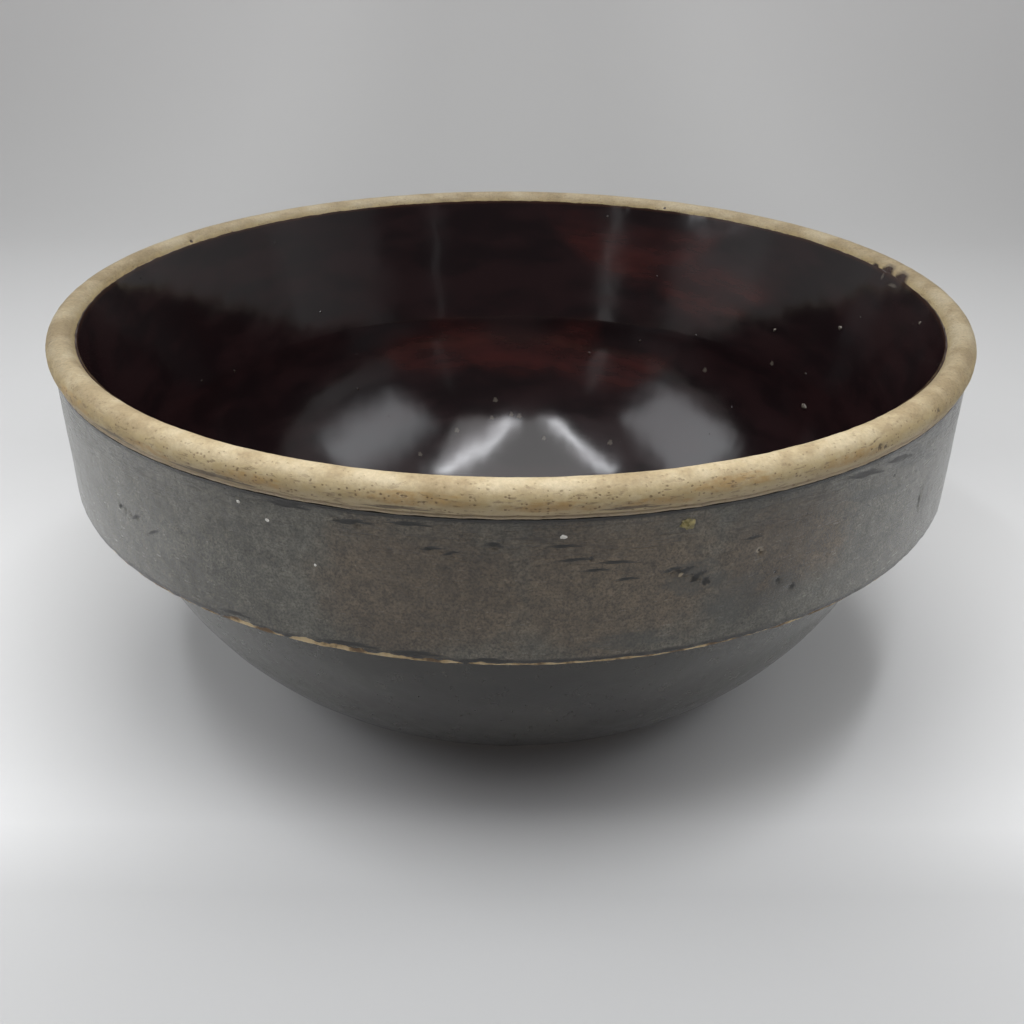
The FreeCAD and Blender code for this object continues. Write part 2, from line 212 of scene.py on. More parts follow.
cool = (0.97, 0.99, 1.03)
tube_height = 0.885
hang_lamp("diffuser", (-0.015, 0.21, 0.9), (-0.015, 0.21, 0), 0.60, 1.50, 2.2)
tube_runs = (("tube_left", (-0.23, -0.56), (-0.40, 0.02)), ("tube_right", (-0.01, -0.56), (0.275, 0.02)))
for name, near_end, far_end in tube_runs:
    run = Vector(far_end) - Vector(near_end)
    middle = (Vector(near_end) + Vector(far_end)) / 2
    tube = hang_lamp(name, (*middle, tube_height), (*middle, 0), 0.12, run.length, 17.0, 0.5, 0.08, cool)
    tube.rotation_euler = (0, 0, math.atan2(run.y, run.x) - math.pi / 2)
hang_lamp("lit_cloth_right", around(74, 45, 0.9), bowl_middle, 0.76, 0.56, 3.0, 0.2, 0.45, cool)
hang_lamp("lit_cloth_left", around(-86, 37, 0.9), bowl_middle, 0.84, 0.48, 2.9, 0.2, 0.2, cool)
hang_lamp("dim_cloth_right", around(66, 13, 1.0), bowl_middle, 0.85, 0.55, 0.24, 0.25, 0.10)
hang_lamp("dim_cloth_left", around(-74, 9, 1.0), bowl_middle, 0.76, 0.48, 0.30, 0.25, 0.10)
hang_lamp("gap_right", around(27.5, 18, 0.9), bowl_middle, 0.020, 0.8, 1.3, 0.5, 0.3)
hang_lamp("gap_left", around(-37, 18, 0.9), bowl_middle, 0.09, 0.8, 1.0, 0.5, 0.3)

# ---- The clay body
# One piece of buff stoneware, jiggered on a plaster mould: floor, wall, collar, rolled rim and foot ring.
# Rim, collar edge and foot are left bare, so the fired clay shows there, stained and chipped by use.
rim_roll = 0.0093 / 2
rim_overhang = 0.0023
collar_depth = 0.052
collar_taper = 0.0005
shoulder_step = 0.0128
cove = 0.004
wall_curve = 0.108
wall_thickness = 0.0085
foot_radius = 0.079
foot_height = 0.0025
foot_ring = 0.013
recess = 0.0015
recess_slope = 0.0025
crease_depth = 0.053
well_corner = 0.030
floor_top = 0.009
edge_round = 0.0007
edge_bare = 0.0040
foot_round = 0.0006
lip = 0.0005
collar_top_radius = rim_radius - rim_overhang
collar_foot_radius = collar_top_radius - collar_taper
ledge = crest - collar_depth
roll_middle = Vector((rim_radius - rim_roll, crest - rim_roll))


def turned(middle, radius, first, last, steps):
    """Points of a section's arc from one angle to another, in degrees, about its middle."""
    angles = [math.radians(first + (last - first) * step / steps) for step in range(steps + 1)]
    return [Vector((middle[0] + radius * math.cos(a), middle[1] + radius * math.sin(a))) for a in angles]


def straight(start, end, steps):
    """Points along a section's straight, without its ends."""
    start = Vector(start)
    return [start.lerp(Vector(end), step / steps) for step in range(1, steps)]


def angle_from(middle, place):
    return math.degrees(math.atan2(place[1] - middle[1], place[0] - middle[0]))


foot_corner = Vector((foot_radius, foot_height))
shoulder = Vector((collar_foot_radius - shoulder_step, ledge))
chord = shoulder - foot_corner
wall_middle = (foot_corner + shoulder) / 2
wall_middle += Vector((-chord.y, chord.x)).normalized() * math.sqrt(wall_curve ** 2 - (chord.length / 2) ** 2)


def off_wall(radius, height):
    """Point at a given height on an arc about the wall's middle."""
    return Vector((wall_middle.x + math.sqrt(radius ** 2 - (height - wall_middle.y) ** 2), height))


def well_section(off, floor_steps, corner_steps, side_steps, upper_steps):
    """Section of the hollow, off the clay: floor, corner, well side and upper wall, up to the rim roll."""
    well = wall_curve - wall_thickness - off
    corner = well_corner - off
    corner_middle = off_wall(well - corner, floor_top + well_corner)
    corner_end = angle_from(wall_middle, corner_middle)
    crease = off_wall(wall_curve - wall_thickness, crest - crease_depth)
    slant = crease - roll_middle
    lean = math.atan2(slant.y, slant.x) - math.acos(rim_roll / slant.length) + 2 * math.pi
    crease -= Vector((off * 0.95, 0))
    points = straight((0, floor_top + off), (corner_middle.x, floor_top + off), floor_steps)
    points += turned(corner_middle, corner, -90, corner_end, corner_steps)
    points += turned(wall_middle, well, corner_end, angle_from(wall_middle, crease), side_steps)[1:]
    roll_end = roll_middle + Vector((math.cos(lean), math.sin(lean))) * (rim_roll + off)
    points += straight(points[-1], roll_end, upper_steps)
    return points, math.degrees(lean)


def throw(name, section, turns, closed=False):
    """Turns a section of (radius, height) points once round the axis, like clay on the wheel."""
    bpy.ops.object.select_all(action="DESELECT")
    bpy.ops.mesh.primitive_plane_add(size=0.01, location=(0, 0, 0))
    piece = bpy.context.object
    piece.name = name
    piece.data.name = name
    bpy.ops.object.mode_set(mode="EDIT")
    bpy.ops.mesh.select_mode(type="VERT")
    bpy.ops.mesh.merge(type="CENTER")
    bpy.ops.transform.translate(value=(section[0].x, 0, section[0].y))
    last = section[0]
    for point in section[1:] + ([section[0]] if closed else []):
        move = (point.x - last.x, 0, point.y - last.y)
        bpy.ops.mesh.extrude_region_move(TRANSFORM_OT_translate={"value": move})
        last = point
    bpy.ops.object.mode_set(mode="OBJECT")
    wheel = piece.modifiers.new("wheel", "SCREW")
    wheel.angle = 2 * math.pi
    wheel.steps = turns
    wheel.render_steps = turns
    wheel.use_merge_vertices = True
    wheel.merge_threshold = 0.000002
    bpy.ops.object.modifier_apply(modifier="wheel")
    bpy.ops.object.mode_set(mode="EDIT")
    bpy.ops.mesh.select_all(action="SELECT")
    bpy.ops.mesh.remove_doubles(threshold=0.000002)
    bpy.ops.mesh.normals_make_consistent(inside=False)
    bpy.ops.object.mode_set(mode="OBJECT")
    bpy.ops.object.shade_smooth_by_angle(angle=math.radians(35))
    return piece


hollow, lean = well_section(0, 2, 5, 9, 1)
roll_low = -math.degrees(math.acos((collar_top_radius + lip - roll_middle.x) / rim_roll))
roll_skin = turned(roll_middle, rim_roll, lean, roll_low, 32)
lip_middle = roll_skin[-1] + Vector((-lip * 0.6, -lip))
lip_skin = turned(lip_middle, lip, 50, -80, 5)
under_lip = Vector((collar_top_radius, lip_skin[-1].y))
edge_middle = (collar_foot_radius - edge_round, ledge + edge_round)
clay_section = [Vector((0, floor_top))] + hollow + roll_skin + lip_skin + [under_lip]
clay_section += [Vector((collar_foot_radius, ledge + edge_bare))]
clay_section += straight((collar_foot_radius, ledge + edge_bare), (collar_foot_radius, ledge + edge_round), 7)
clay_section += turned(edge_middle, edge_round, 0, -90, 5)
cove_middle = Vector((0, ledge - cove))
cove_middle.x = wall_middle.x + math.sqrt((wall_curve + cove) ** 2 - (cove_middle.y - wall_middle.y) ** 2)
wall_top = angle_from(wall_middle, cove_middle)
wall_foot = angle_from(wall_middle, foot_corner)
clay_section += straight(clay_section[-1], (cove_middle.x, ledge), 3)
clay_section += turned(cove_middle, cove, 90, 180 + wall_top, 4)
clay_section += turned(wall_middle, wall_curve, wall_top, wall_foot, 9)[1:]
clay_section += [Vector((foot_radius, foot_round))]
clay_section += turned((foot_radius - foot_round, foot_round), foot_round, 0, -90, 3)[1:]
clay_section += straight((foot_radius - foot_round, 0), (foot_radius - foot_ring, 0), 4)
clay_section += [Vector((foot_radius - foot_ring, 0))]
clay_section += [Vector((foot_radius - foot_ring - recess_slope, recess)), Vector((0, recess))]
clay = throw("bowl_clay", clay_section, 1000)


def cloud(name, size, depth=2):
    """A cloudy unevenness, its lumps about size across."""
    texture = bpy.data.textures.new(name, "CLOUDS")
    texture.noise_scale = size
    texture.noise_depth = depth
    texture.noise_type = "SOFT_NOISE"
    return texture


def uneven(piece, texture, amount, where, direction="NORMAL", middle=0.5):
    """Moves a skin by a texture, as far as the rule where allows at each point."""
    group = piece.vertex_groups.new(name="where")
    for point in piece.data.vertices:
        weight = where(point.co)
        if weight > 0:
            group.add([point.index], weight, "REPLACE")
    change = piece.modifiers.new("change", "DISPLACE")
    change.texture = texture
    change.texture_coords = "LOCAL"
    change.direction = direction
    change.strength = amount
    change.mid_level = middle
    change.vertex_group = "where"
    bpy.context.view_layer.objects.active = piece
    bpy.ops.object.modifier_apply(modifier="change")
    piece.vertex_groups.clear()


def rise(value, low, high):
    """0 up to low, 1 from high, and evenly between."""
    return min(max((value - low) / (high - low), 0), 1)


def out_from_axis(place):
    return math.hypot(place.x, place.y)


def place_on(skin, bearing, depth):
    """Place on a turned skin at a bearing in degrees and a depth below the crest."""
    height = crest - depth
    for upper, lower in zip(skin, skin[1:]):
        if min(upper.y, lower.y) <= height <= max(upper.y, lower.y) and upper.y != lower.y:
            radius = upper.x + (lower.x - upper.x) * (height - upper.y) / (lower.y - upper.y)
            break
    turn = math.radians(bearing)
    return Vector((radius * math.cos(turn), radius * math.sin(turn), height))


def press(piece, marks, push=0.001):
    """Presses marks into a skin: each has a place, a reach and a depth, and eases off to nothing."""
    points = piece.data.vertices
    group = piece.vertex_groups.new(name="pressed")
    for place, reach, depth in marks:
        side = 1 if out_from_axis(place) > collar_foot_radius - 0.002 else -1
        for point in points:
            gap = (point.co - place).length
            if gap < reach and side * (point.normal.x * place.x + point.normal.y * place.y) > -0.02:
                group.add([point.index], depth / push * (1 + math.cos(math.pi * gap / reach)) / 2, "ADD")
    change = piece.modifiers.new("pressed", "DISPLACE")
    change.direction = "NORMAL"
    change.strength = -push
    change.mid_level = 0
    change.vertex_group = "pressed"
    bpy.context.view_layer.objects.active = piece
    bpy.ops.object.modifier_apply(modifier="pressed")
    piece.vertex_groups.clear()


outer_roll = [point for point in roll_skin if point.x >= roll_middle.x]
inner_roll = [point for point in roll_skin if point.x < roll_middle.x]
soft_lumps = cloud("soft_lumps", 0.011)
small_lumps = cloud("small_lumps", 0.0032, 4)
torn_edge = cloud("torn_edge", 0.0045, 4)


def on_roll(place):
    return rise(place.z, crest - 0.0086, crest - 0.0076) * rise(out_from_axis(place), 0.140, 0.143)


def on_lip(place):
    return rise(place.z, crest - 0.0105, crest - 0.0096) * rise(crest - 0.0078 - place.z, 0, 0.0006)


def on_ledge_edge(place):
    return rise(out_from_axis(place), 0.142, 0.147) * rise(ledge + edge_bare - place.z, 0, 0.003)


uneven(clay, soft_lumps, -0.00022, on_roll, middle=0)
uneven(clay, small_lumps, -0.00014, on_roll, middle=0)
uneven(clay, torn_edge, 0.0005, on_lip, direction="Z", middle=0.6)
uneven(clay, soft_lumps, 0.0004, on_ledge_edge, direction="Z")
uneven(clay, small_lumps, -0.0005, on_ledge_edge, middle=0.3)
rim_presses = [(place_on(inner_roll, bearing, depth), reach, deep) for bearing, depth, reach, deep in (
    (8.0, 0.0030, 0.0030, -0.0005), (12.4, 0.0028, 0.0030, -0.0005), (17.0, 0.0030, 0.0016, 0.0004),
    (-53.5, 0.0018, 0.0022, 0.0008), (-62.5, 0.0018, 0.0016, 0.0005), (-49.0, 0.0016, 0.0014, 0.0004),
    (62.0, 0.0015, 0.0020, 0.0005), (152.0, 0.0018, 0.0022, 0.0006), (-141.0, 0.0016, 0.0018, 0.0005),
)]
rim_presses += [(place_on(outer_roll, bearing, depth), reach, deep) for bearing, depth, reach, deep in (
    (-51.5, 0.0046, 0.0013, 0.0005), (-50.6, 0.0052, 0.0010, 0.0004), (-40.0, 0.0036, 0.0014, 0.0005),
    (-97.0, 0.0040, 0.0024, 0.0004), (-137.5, 0.0042, 0.0015, 0.0004), (-159.0, 0.0025, 0.0020, 0.0004),
    (-119.0, 0.0066, 0.0018, 0.0005), (-110.0, 0.0070, 0.0016, 0.0004), (-78.0, 0.0068, 0.0016, 0.0003),
    (-168.0, 0.0050, 0.0022, 0.0005), (128.0, 0.0040, 0.0024, 0.0005), (35.0, 0.0050, 0.0020, 0.0005),
)]
press(clay, rim_presses)
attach(clay, "root")
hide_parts("clay_body")


def cover(tree, share, under, over):
    """One colour laid over another by a share."""
    colours = [(*colour, 1) if isinstance(colour, tuple) else colour for colour in (under, over)]
    return lay(tree, "Mix", {0: share, 6: colours[0], 7: colours[1]}, data_type="RGBA").outputs[2]


def new_group(name, takes, gives):
    """An empty node group: takes is name to (kind, value), gives is name to kind."""
    group = bpy.data.node_groups.new(name, "ShaderNodeTree")
    for label, (kind, value) in takes.items():
        socket = group.interface.new_socket(name=label, in_out="INPUT", socket_type="NodeSocket" + kind)
        socket.default_value = value
    for label, kind in gives.items():
        group.interface.new_socket(name=label, in_out="OUTPUT", socket_type="NodeSocket" + kind)
    return group, group.nodes.new("NodeGroupInput").outputs, group.nodes.new("NodeGroupOutput").inputs


# Patches: soft cloudy areas about Size across, drawn out level along the wheel's turning by Draw.
patches, given, gives = new_group(
    "fired_patches",
    {"Place": ("Vector", (0, 0, 0)), "Size": ("Float", 0.02), "Draw": ("Float", 1), "Shift": ("Float", 0)},
    {"Share": "Float"})
close = reckon(patches, "DIVIDE", 1.0, given["Size"])
level = reckon(patches, "MULTIPLY", close, given["Draw"])
shape = lay(patches, "CombineXYZ", {"X": close, "Y": close, "Z": level}).outputs["Vector"]
spread = lay(patches, "VectorMath", {0: given["Place"], 1: shape}, operation="MULTIPLY").outputs["Vector"]
shifted = lay(patches, "VectorMath", {0: spread, 1: given["Shift"]}, operation="ADD").outputs["Vector"]
wires = {"Vector": shifted, "Scale": 1.0, "Detail": 4.0, "Roughness": 0.6}
cloudy = lay(patches, "TexNoise", wires).outputs["Fac"]
patches.links.new(scale_to(patches, cloudy, 0.30, 0.70), gives["Share"])

# Specks: round to ragged dots, one in each cell Spacing across at most, and many cells bare.
specks, given, gives = new_group(
    "fired_specks",
    {"Place": ("Vector", (0, 0, 0)), "Spacing": ("Float", 0.003), "Size": ("Float", 0.3),
     "Draw": ("Float", 1)},
    {"Share": "Float"})
close = reckon(specks, "DIVIDE", 1.0, given["Spacing"])
level = reckon(specks, "MULTIPLY", close, given["Draw"])
shape = lay(specks, "CombineXYZ", {"X": close, "Y": close, "Z": level}).outputs["Vector"]
spread = lay(specks, "VectorMath", {0: given["Place"], 1: shape}, operation="MULTIPLY").outputs["Vector"]
wires = {"Vector": spread, "Scale": 2.3, "Detail": 2.0}
jitter = lay(specks, "TexNoise", wires).outputs["Color"]
ragged = lay(specks, "VectorMath", {0: jitter, "Scale": 0.35}, operation="SCALE").outputs["Vector"]
ragged = lay(specks, "VectorMath", {0: spread, 1: ragged}, operation="ADD").outputs["Vector"]
cells = lay(specks, "TexVoronoi", {"Vector": ragged, "Scale": 1.0})
chance = lay(specks, "SeparateColor", {"Color": cells.outputs["Color"]}).outputs["Red"]
reach = reckon(specks, "MULTIPLY", reckon(specks, "POWER", chance, 3.0), given["Size"])
inner = reckon(specks, "MULTIPLY", reach, 0.55)
wires = {"Value": cells.outputs["Distance"], "From Min": reach, "From Max": inner}
specks.links.new(lay(specks, "MapRange", wires).outputs["Result"], gives["Share"])

# Mark: one ragged oval at a spot. Its size is out from the skin, along the skin and up it.
mark, given, gives = new_group(
    "mark",
    {"Place": ("Vector", (0, 0, 0)), "Spot": ("Vector", (0, 0, 0)), "Turn": ("Float", 0),
     "Slope": ("Float", 0), "Size": ("Vector", (0.01, 0.01, 0.01)), "Ragged": ("Float", 0.5)},
    {"Share": "Float"})
away = lay(mark, "VectorMath", {0: given["Place"], 1: given["Spot"]}, operation="SUBTRACT").outputs["Vector"]
back_turn = reckon(mark, "MULTIPLY", given["Turn"], -1.0)
wires = {"Vector": away, "Angle": back_turn}
faced = lay(mark, "VectorRotate", wires, rotation_type="Z_AXIS").outputs["Vector"]
wires = {"Vector": faced, "Angle": given["Slope"]}
faced = lay(mark, "VectorRotate", wires, rotation_type="X_AXIS").outputs["Vector"]
sized = lay(mark, "VectorMath", {0: faced, 1: given["Size"]}, operation="DIVIDE").outputs["Vector"]
tear = lay(mark, "TexNoise", {"Vector": sized, "Scale": 1.7, "Detail": 5.0, "Roughness": 0.7}).outputs["Fac"]
tear = reckon(mark, "MULTIPLY", reckon(mark, "SUBTRACT", tear, 0.5), given["Ragged"])
reach = lay(mark, "VectorMath", {0: sized}, operation="LENGTH").outputs["Value"]
reach = reckon(mark, "ADD", reach, reckon(mark, "MULTIPLY", tear, 3.0))
mark.links.new(scale_to(mark, reach, 1.0, 0.45), gives["Share"])


def share_of(tree, group, **wires):
    """A group's share, with its inputs named."""
    node = lay(tree, "Group", node_tree=group)
    for name, value in wires.items():
        if isinstance(value, bpy.types.NodeSocket):
            tree.links.new(value, node.inputs[name])
        else:
            node.inputs[name].default_value = value
    return node.outputs["Share"]


def marks_on(tree, place, skin, marks, ragged=0.5):
    """The greatest share of several marks: each is bearing, depth, half length, half height and slope."""
    share = None
    for bearing, depth, along, up, slope in marks:
        spot = place_on(skin, bearing, depth)
        one = share_of(tree, mark, Place=place, Spot=spot, Turn=math.radians(bearing),
                       Slope=math.radians(slope), Size=(0.005, along, up), Ragged=ragged)
        share = one if share is None else reckon(tree, "MAXIMUM", share, one)
    return share


def bump(tree, height, distance):
    """A bump of a height share, its full height given in metres."""
    wires = {"Height": height, "Distance": distance, "Strength": 1.0}
    return lay(tree, "Bump", wires).outputs["Normal"]


clay_finish, tree, shader = new_finish("bare_stoneware")
place = lay(tree, "TexCoord").outputs["Object"]
height = lay(tree, "SeparateXYZ", {"Vector": place}).outputs["Z"]
cloudy = share_of(tree, patches, Place=place, Size=0.016, Draw=2.0)
clay_stops = ((0.1, (0.33, 0.25, 0.135)), (0.5, (0.43, 0.342, 0.200)), (0.9, (0.49, 0.405, 0.255)))
colour = ramp(tree, cloudy, *clay_stops)
wires = {"Vector": place, "Scale": 1100.0, "Detail": 4.0, "Roughness": 0.75}
sand = lay(tree, "TexNoise", wires).outputs["Fac"]
sand = scale_to(tree, sand, 0.25, 0.75, smooth=False)
# Painted light and shade: the rim is painted lighter at the front and darker at its sides and back.
painted_shade_away_from_front = scale_to(tree, lay(tree, "SeparateXYZ", {"Vector": place}).outputs["Y"], -0.142, -0.05)
tone = reckon(tree, "MULTIPLY_ADD", painted_shade_away_from_front, -0.42, 0.84)
tone = reckon(tree, "ADD", tone, reckon(tree, "MULTIPLY", sand, 0.36))
colour = lay(tree, "VectorMath", {0: colour, "Scale": tone}, operation="SCALE").outputs["Vector"]
low_band = scale_to(tree, height, crest - 0.0008, crest - 0.0036)
low_tan = share_of(tree, patches, Place=place, Size=0.0032, Draw=1.5, Shift=3.0)
low_share = reckon(tree, "MULTIPLY", low_band, reckon(tree, "MULTIPLY_ADD", low_tan, 0.55, 0.28))
colour = cover(tree, low_share, colour, (0.40, 0.305, 0.145))
# The lower outer part of the roll is made paler.
paler_lower_roll = reckon(tree, "MULTIPLY", scale_to(tree, height, crest - 0.0048, crest - 0.0070), 0.55)
colour = cover(tree, paler_lower_roll, colour, (0.46, 0.37, 0.24))
stains = marks_on(tree, place, outer_roll, (
    (-98.0, 0.0044, 0.0160, 0.0022, 0), (-86.0, 0.0056, 0.0130, 0.0018, 0),
    (-69.0, 0.0036, 0.0140, 0.0022, 0), (-77.0, 0.0060, 0.0120, 0.0016, 0),
    (-114.0, 0.0054, 0.0130, 0.0020, 0), (-55.0, 0.0050, 0.0130, 0.0020, 0),
    (-128.0, 0.0060, 0.0120, 0.0018, 0), (-143.0, 0.0045, 0.0150, 0.0022, 0),
    (60.0, 0.0040, 0.0110, 0.0020, 0), (170.0, 0.0035, 0.0140, 0.0024, 0),
), ragged=0.8)
stains = reckon(tree, "MULTIPLY", stains, reckon(tree, "MULTIPLY_ADD", low_tan, 0.50, 0.12))
colour = cover(tree, stains, colour, (0.36, 0.205, 0.062))
dust = share_of(tree, specks, Place=place, Spacing=0.0010, Size=0.55, Draw=1.3)
dusty = reckon(tree, "MULTIPLY_ADD", low_band, 0.55, 0.22)
colour = cover(tree, reckon(tree, "MULTIPLY", dust, dusty), colour, (0.16, 0.10, 0.05))
drag = share_of(tree, patches, Place=place, Size=0.0036, Draw=4.0, Shift=7.0)
drag_share = reckon(tree, "MULTIPLY_ADD", low_band, 0.35, 0.15)
drag = reckon(tree, "MULTIPLY", scale_to(tree, drag, 0.78, 1.0), drag_share)
colour = cover(tree, drag, colour, (0.14, 0.09, 0.05))
grime = marks_on(tree, place, outer_roll, (
    (-119.0, 0.0074, 0.0160, 0.0012, 0), (-134.0, 0.0070, 0.0120, 0.0012, 0),
    (-51.5, 0.0048, 0.0011, 0.0011, 20), (-50.5, 0.0054, 0.0008, 0.0008, 0),
    (-40.0, 0.0036, 0.0010, 0.0009, 0), (-159.0, 0.0022, 0.0005, 0.0034, 12),
    (-162.0, 0.0030, 0.0004, 0.0026, -8), (-155.0, 0.0060, 0.0010, 0.0018, 10),
    (-172.0, 0.0040, 0.0012, 0.0030, 0), (-79.0, 0.0070, 0.0090, 0.0008, 0),
    (-100.0, 0.0072, 0.0100, 0.0008, 0), (22.0, 0.0050, 0.0030, 0.0016, 0),
    (100.0, 0.0050, 0.0100, 0.0020, 0), (140.0, 0.0060, 0.0140, 0.0020, 0),
), ragged=0.9)
colour = cover(tree, reckon(tree, "MULTIPLY", grime, 0.75), colour, (0.075, 0.055, 0.04))
under_rim = scale_to(tree, height, crest - 0.0078, crest - 0.0084)
lip_share = reckon(tree, "MULTIPLY", under_rim, reckon(tree, "MULTIPLY_ADD", low_tan, -0.5, 0.95))
colour = cover(tree, lip_share, colour, (0.42, 0.34, 0.24))
# Painted shade: a dark band in the crease under the lip, where the collar's coat meets the rim.
painted_crevice_shade = scale_to(tree, height, crest - 0.0092, crest - 0.0096)
colour = cover(tree, painted_crevice_shade, colour, (0.045, 0.038, 0.032))
edge_band = scale_to(tree, height, ledge + 0.0060, ledge + 0.0030)
edge_tan = share_of(tree, patches, Place=place, Size=0.006, Draw=1.0, Shift=11.0)
edge_stops = ((0.2, (0.16, 0.10, 0.05)), (0.5, (0.50, 0.36, 0.19)), (0.8, (0.62, 0.48, 0.28)))
colour = cover(tree, edge_band, colour, ramp(tree, edge_tan, *edge_stops))
foot_band = scale_to(tree, height, 0.012, 0.006)
foot_colour = cover(tree, edge_tan, (0.30, 0.22, 0.13), (0.46, 0.36, 0.23))
colour = cover(tree, reckon(tree, "MULTIPLY", foot_band, 0.85), colour, foot_colour)
blisters = marks_on(tree, place, inner_roll, (
    (9.3, 0.0031, 0.0060, 0.0036, 0), (13.3, 0.0031, 0.0052, 0.0034, 0), (16.6, 0.0032, 0.0030, 0.0010, 0),
    (-53.5, 0.0024, 0.0009, 0.0006, 0), (152.0, 0.0024, 0.0011, 0.0007, 0), (62.0, 0.0024, 0.0009, 0.0006, 0),
), ragged=0.25)
colour = cover(tree, blisters, colour, (0.028, 0.014, 0.010))
tree.links.new(colour, shader.inputs["Base Color"])
dull = reckon(tree, "MULTIPLY_ADD", cloudy, -0.14, 0.72)
dull = reckon(tree, "SUBTRACT", dull, reckon(tree, "MULTIPLY", blisters, 0.45))
tree.links.new(dull, shader.inputs["Roughness"])
grain = lay(tree, "TexNoise", {"Vector": place, "Scale": 900.0, "Detail": 3.0}).outputs["Fac"]
pitted = reckon(tree, "SUBTRACT", grain, dust)
pitted = reckon(tree, "SUBTRACT", pitted, reckon(tree, "MULTIPLY", drag, 1.5))
normal = bump(tree, pitted, 0.00012)
tree.links.new(normal, shader.inputs["Normal"])
clay.data.materials.append(clay_finish)

# ---- The lining
# Dark gloss slip poured in and out of the hollow before firing. It is thick and wavy, with burst bubbles
# and grains under it, has redder patches towards the back, and is wiped back from the crest of the rim.
coat = 0.0005
lining_drop = 0.002
hollow, lean = well_section(coat, 12, 16, 40, 34)
lining_wipe = 0.0013
lining_start = 180 - math.degrees(math.asin((rim_roll - lining_drop - lining_wipe) / rim_roll))
lining_skin = [Vector((0, floor_top + coat))] + hollow
for share in (0.0, 0.25, 0.5, 0.75, 1.0):
    angle = lean + (lining_start + 3 - lean) * share
    lining_skin += turned(roll_middle, rim_roll + coat * (1 - 0.75 * share), angle, angle, 1)[:1]
back, lean = well_section(-coat, 2, 5, 9, 1)
back = [Vector((0, floor_top - coat))] + back + turned(roll_middle, rim_roll - coat, lean, lining_start, 2)
edge_face = turned(roll_middle, rim_roll - coat * 0.2, lining_start, lining_start, 1)[:1]
lining = throw("lining_glaze", lining_skin + edge_face + back[::-1], 780)


def facing_axis(place):
    return rise(crest - 0.0030 - place.z, 0, 0.006)


def lining_edge(place):
    return rise(place.z, crest - 0.0056, crest - 0.0042)


slow_waves = cloud("slow_waves", 0.030, 1)
runs = cloud("runs", 0.0090, 1)
uneven(lining, slow_waves, 0.0004, facing_axis)
uneven(lining, runs, 0.00008, facing_axis)
uneven(lining, torn_edge, 0.0007, lining_edge, direction="Z", middle=0.5)
press(lining, [(place_on(lining_skin, bearing, depth), reach, deep) for bearing, depth, reach, deep in (
    (19.9, 0.0614, 0.0034, -0.0008), (33.5, 0.0397, 0.0022, -0.0005), (31.6, 0.0523, 0.0022, -0.0005),
    (43.4, 0.0687, 0.0036, -0.0010), (41.8, 0.0705, 0.0030, -0.0008), (46.8, 0.0646, 0.0030, -0.0008),
    (42.4, 0.0842, 0.0034, -0.0010), (41.8, 0.0916, 0.0030, -0.0008), (37.8, 0.0899, 0.0034, -0.0009),
    (64.1, 0.1011, 0.0022, -0.0005), (81.4, 0.1027, 0.0022, -0.0005), (93.7, 0.0886, 0.0020, -0.0004),
    (89.9, 0.0943, 0.0024, -0.0005), (88.0, 0.0949, 0.0024, -0.0005), (94.7, 0.0955, 0.0020, -0.0004),
    (103.7, 0.0994, 0.0024, -0.0005), (114.6, 0.1060, 0.0022, -0.0004), (169.3, 0.0524, 0.0020, -0.0005),
)])
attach(lining, "root")
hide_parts("inner_glaze")

lining_finish, tree, shader = new_finish("lining_gloss")
place = lay(tree, "TexCoord").outputs["Object"]
height = lay(tree, "SeparateXYZ", {"Vector": place}).outputs["Z"]
cloudy = share_of(tree, patches, Place=place, Size=0.035, Draw=3.0)
colour = ramp(tree, cloudy, (0.2, (0.008, 0.0045, 0.005)), (0.8, (0.014, 0.0065, 0.007)))
# Redder patches towards the back of the hollow, streaked.
redder_patches = marks_on(tree, place, lining_skin, (
    (89.0, 0.070, 0.085, 0.026, 0), (106.0, 0.068, 0.045, 0.020, 0), (70.0, 0.074, 0.045, 0.024, 0),
    (66.0, 0.024, 0.060, 0.034, 0), (50.0, 0.034, 0.045, 0.026, 0),
), ragged=0.2)
streaks = share_of(tree, patches, Place=place, Size=0.030, Draw=4.0, Shift=5.0)
redder_patches = reckon(tree, "MULTIPLY", redder_patches, reckon(tree, "MULTIPLY_ADD", streaks, 0.45, 0.12))
colour = cover(tree, redder_patches, colour, (0.062, 0.0150, 0.0125))
bubbles = share_of(tree, specks, Place=place, Spacing=0.0075, Size=0.10, Draw=1.0)
colour = cover(tree, reckon(tree, "MULTIPLY", bubbles, 0.35), colour, (0.06, 0.045, 0.03))
# Pale spots on the raised bubbles; the two pale marks by the blisters at the rim's edge are painted sheen.
pale_spots_and_sheen = marks_on(tree, place, lining_skin, (
    (10.2, 0.0060, 0.0036, 0.0007, 8), (13.6, 0.0050, 0.0009, 0.0015, 0), (88.0, 0.0949, 0.0014, 0.0012, 0),
    (89.9, 0.0943, 0.0012, 0.0012, 0), (93.7, 0.0886, 0.0014, 0.0012, 0), (94.7, 0.0955, 0.0012, 0.0010, 0),
    (103.7, 0.0994, 0.0014, 0.0012, 0), (114.6, 0.1060, 0.0012, 0.0010, 0), (81.4, 0.1027, 0.0012, 0.0010, 0),
    (64.1, 0.1011, 0.0014, 0.0012, 0), (31.6, 0.0523, 0.0012, 0.0010, 0), (46.8, 0.0646, 0.0012, 0.0012, 0),
), ragged=0.6)
colour = cover(tree, reckon(tree, "MULTIPLY", pale_spots_and_sheen, 0.55), colour, (0.12, 0.105, 0.085))
edge_thin = scale_to(tree, height, crest - 0.0046, crest - 0.0034)
colour = cover(tree, reckon(tree, "MULTIPLY", edge_thin, 0.5), colour, (0.05, 0.022, 0.012))
tree.links.new(colour, shader.inputs["Base Color"])
